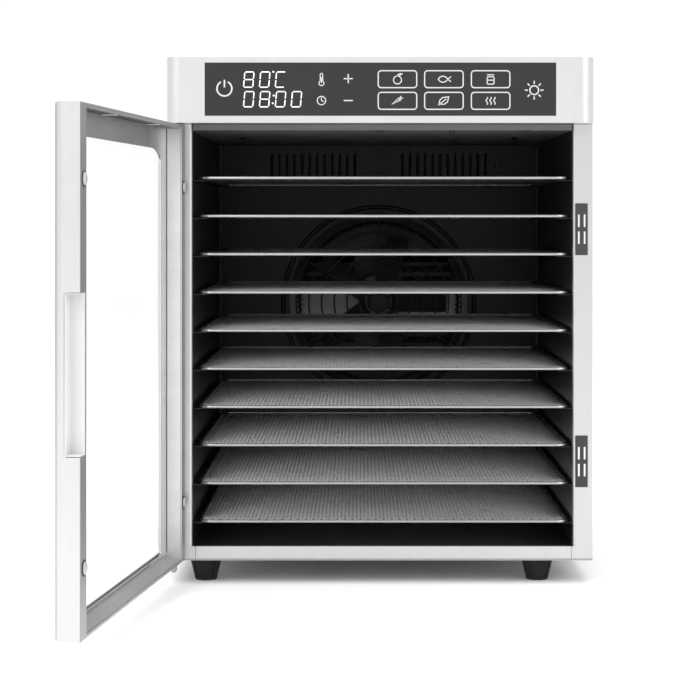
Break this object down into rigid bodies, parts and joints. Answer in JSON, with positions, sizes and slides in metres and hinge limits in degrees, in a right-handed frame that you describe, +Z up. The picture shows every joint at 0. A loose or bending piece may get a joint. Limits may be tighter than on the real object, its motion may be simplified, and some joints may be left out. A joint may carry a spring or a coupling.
{
  "type": "food dehydrator",
  "caption": "Steel cabinet food dehydrator with sliding wire trays, a rear fan and heater, a touch panel header and a side-hung glazed door, shown open.",
  "frame": {"origin": "middle of the footprint at the bottom of the feet, of the whole object with its door standing open", "axes": "+Z up; -Y out of the cabinet's front, the way the trays slide out; +X to the right seen from the front"},
  "size_m": [0.5064, 0.9568, 0.557],
  "materials": {
    "shell_steel": "pale satin",
    "frame_steel": "satin",
    "inner_steel": "brushed",
    "liner_steel": "dark semi-gloss",
    "ceiling_paint": "grey semi-matte",
    "bright_wire": "bright drawn wire",
    "control_glass": "gloss",
    "door_glass": "clear",
    "rubber": "matte",
    "dark_plastic": "matte",
    "pale_plastic": "satin",
    "circuit": "solder mask",
    "dark_steel": "oxidised",
    "cast_aluminium": "as cast",
    "lamp_lens": "smoked"
  },
  "bodies": {
    "cabinet": {"side_panel_left": "shell_steel", "side_panel_right": "shell_steel", "top_panel": "shell_steel", "rear_cover": "shell_steel", "header_bezel": "shell_steel", "liner_ceiling": "ceiling_paint", "base_plate": "frame_steel", "pillar_left": "frame_steel", "pillar_right": "frame_steel", "front_sill": "frame_steel", "hinge_plate_lower": "frame_steel", "hinge_plate_upper": "frame_steel", "motor_bracket": "inner_steel", "liner_left": "liner_steel", "liner_right": "liner_steel", "liner_floor": "liner_steel", "liner_back": "liner_steel", "hinge_pin_lower": "bright_wire", "hinge_pin_upper": "bright_wire", "control_glass": "control_glass", "foot_front_left": "rubber", "foot_front_right": "rubber", "foot_back_left": "rubber", "foot_back_right": "rubber", "magnet_catch_upper": "dark_plastic", "magnet_catch_lower": "dark_plastic", "power_inlet": "dark_plastic", "control_board": "circuit", "power_board": "circuit", "temperature_probe": "dark_steel", "fan_guard": "dark_steel", "heater_ring": "dark_steel", "fan_motor": "cast_aluminium", "lamp_left": "lamp_lens", "lamp_right": "lamp_lens"},
    "door": {"door_frame": "shell_steel", "door_retainer": "frame_steel", "door_glass": "door_glass", "finger_pull": "pale_plastic"},
    "fan": {"fan_rotor": "cast_aluminium"},
    "tray_1": {"tray_rim_1": "bright_wire", "tray_mesh_1": "bright_wire"},
    "tray_2": {"tray_rim_2": "bright_wire", "tray_mesh_2": "bright_wire"},
    "tray_3": {"tray_rim_3": "bright_wire", "tray_mesh_3": "bright_wire"},
    "tray_4": {"tray_rim_4": "bright_wire", "tray_mesh_4": "bright_wire"},
    "tray_5": {"tray_rim_5": "bright_wire", "tray_mesh_5": "bright_wire"},
    "tray_6": {"tray_rim_6": "bright_wire", "tray_mesh_6": "bright_wire"},
    "tray_7": {"tray_rim_7": "bright_wire", "tray_mesh_7": "bright_wire"},
    "tray_8": {"tray_rim_8": "bright_wire", "tray_mesh_8": "bright_wire"},
    "tray_9": {"tray_rim_9": "bright_wire", "tray_mesh_9": "bright_wire"},
    "tray_10": {"tray_rim_10": "bright_wire", "tray_mesh_10": "bright_wire"}
  },
  "joints": [
    {"name": "door_hinge", "type": "hinge", "parent": "cabinet", "child": "door", "pos_m": [-0.18951, -0.0376, 0.256], "axis": [0, 0, -1], "range_deg": [-96.65, 33.35]},
    {"name": "fan_spin", "type": "hinge", "parent": "cabinet", "child": "fan", "pos_m": [0.03069, 0.4241, 0.283], "axis": [0, 1, 0], "continuous": true},
    {"name": "tray_1_slide", "type": "slide", "parent": "cabinet", "child": "tray_1", "axis": [0, -1, 0], "range_m": [0, 0.34]},
    {"name": "tray_2_slide", "type": "slide", "parent": "cabinet", "child": "tray_2", "axis": [0, -1, 0], "range_m": [0, 0.34]},
    {"name": "tray_3_slide", "type": "slide", "parent": "cabinet", "child": "tray_3", "axis": [0, -1, 0], "range_m": [0, 0.34]},
    {"name": "tray_4_slide", "type": "slide", "parent": "cabinet", "child": "tray_4", "axis": [0, -1, 0], "range_m": [0, 0.34]},
    {"name": "tray_5_slide", "type": "slide", "parent": "cabinet", "child": "tray_5", "axis": [0, -1, 0], "range_m": [0, 0.34]},
    {"name": "tray_6_slide", "type": "slide", "parent": "cabinet", "child": "tray_6", "axis": [0, -1, 0], "range_m": [0, 0.34]},
    {"name": "tray_7_slide", "type": "slide", "parent": "cabinet", "child": "tray_7", "axis": [0, -1, 0], "range_m": [0, 0.34]},
    {"name": "tray_8_slide", "type": "slide", "parent": "cabinet", "child": "tray_8", "axis": [0, -1, 0], "range_m": [0, 0.34]},
    {"name": "tray_9_slide", "type": "slide", "parent": "cabinet", "child": "tray_9", "axis": [0, -1, 0], "range_m": [0, 0.34]},
    {"name": "tray_10_slide", "type": "slide", "parent": "cabinet", "child": "tray_10", "axis": [0, -1, 0], "range_m": [0, 0.34]}
  ]
}
